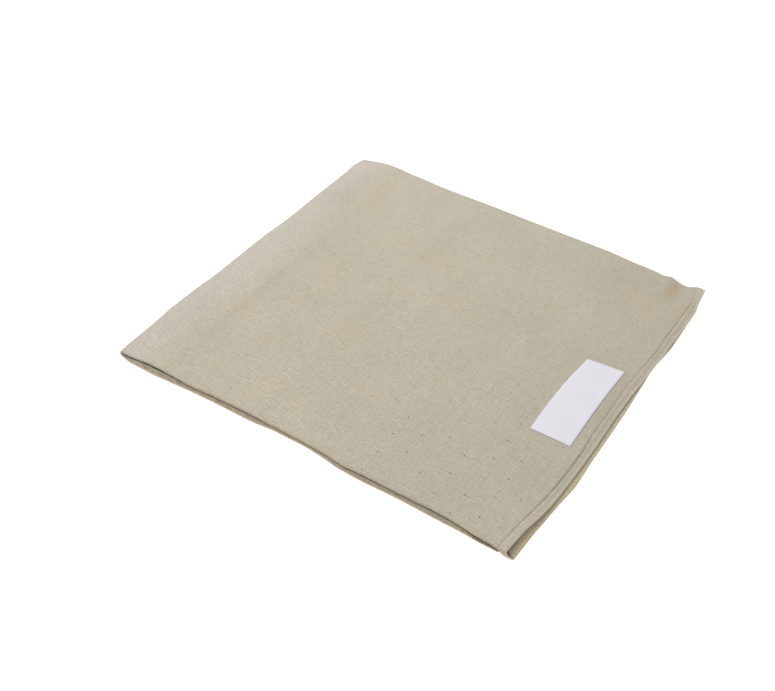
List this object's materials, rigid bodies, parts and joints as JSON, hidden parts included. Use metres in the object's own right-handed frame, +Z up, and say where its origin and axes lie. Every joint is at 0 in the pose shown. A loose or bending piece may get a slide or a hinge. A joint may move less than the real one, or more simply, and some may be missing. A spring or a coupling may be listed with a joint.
{
  "type": "folded bath sheet",
  "caption": "Large woven cotton bath sheet folded flat into a square, with stitched hems, soft folds and a blank white label sewn beside the hem",
  "frame": {"origin": "under the middle of the folded cloth, on the surface that it lies on", "axes": "+X runs along the front fold from the left fold to the hems, +Y runs from the front fold to the open selvedges at the back, +Z is up"},
  "size_m": [0.5258, 0.5026, 0.0113],
  "materials": {
    "cloth": "matte",
    "label": "satin"
  },
  "bodies": {
    "root": {"bath_sheet": "cloth", "sewn_label": "label"}
  },
  "joints": []
}
